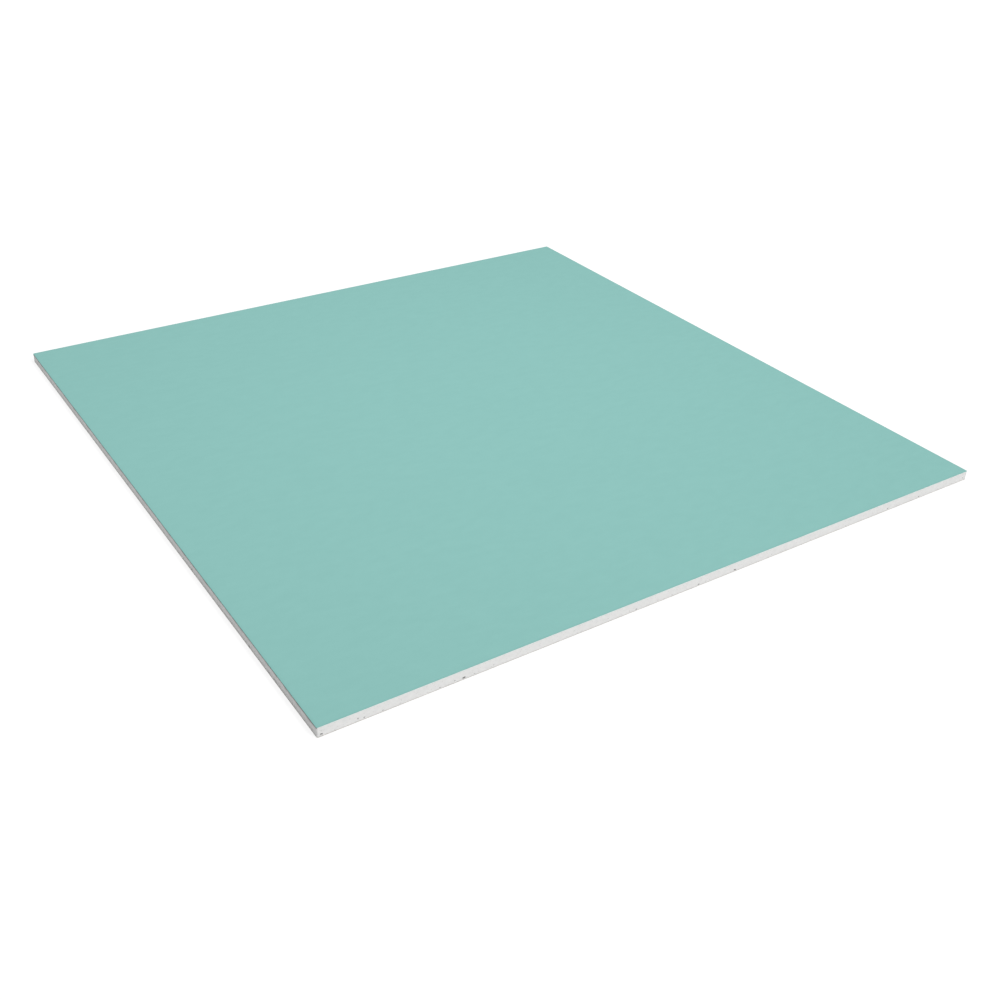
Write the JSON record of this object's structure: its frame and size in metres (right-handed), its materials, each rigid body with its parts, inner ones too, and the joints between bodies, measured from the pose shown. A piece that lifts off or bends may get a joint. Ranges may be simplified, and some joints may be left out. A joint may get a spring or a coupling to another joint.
{
  "type": "gypsum ceiling tile",
  "caption": "Square gypsum board ceiling tile with a mint-coloured paper face, a white foamed gypsum core bare on its sawn sides, and a plain paper back; it lies in a ceiling grid.",
  "frame": {"origin": "middle of the back, on the plane that the tile rests on", "axes": "+Z out of the mint-coloured face; X and Y along the square's sides, with -Y the front side and -X the left side of the picture"},
  "size_m": [0.595, 0.595, 0.008],
  "materials": {
    "gypsum": "matt off-white foamed gypsum, sawn, with small air voids",
    "face_liner": "matt mint-coloured paper liner",
    "back_liner": "matt light ivory-grey recycled paper liner"
  },
  "bodies": {
    "root": {"gypsum_core": "gypsum", "face_paper": "face_liner", "back_paper": "back_liner"}
  },
  "joints": []
}
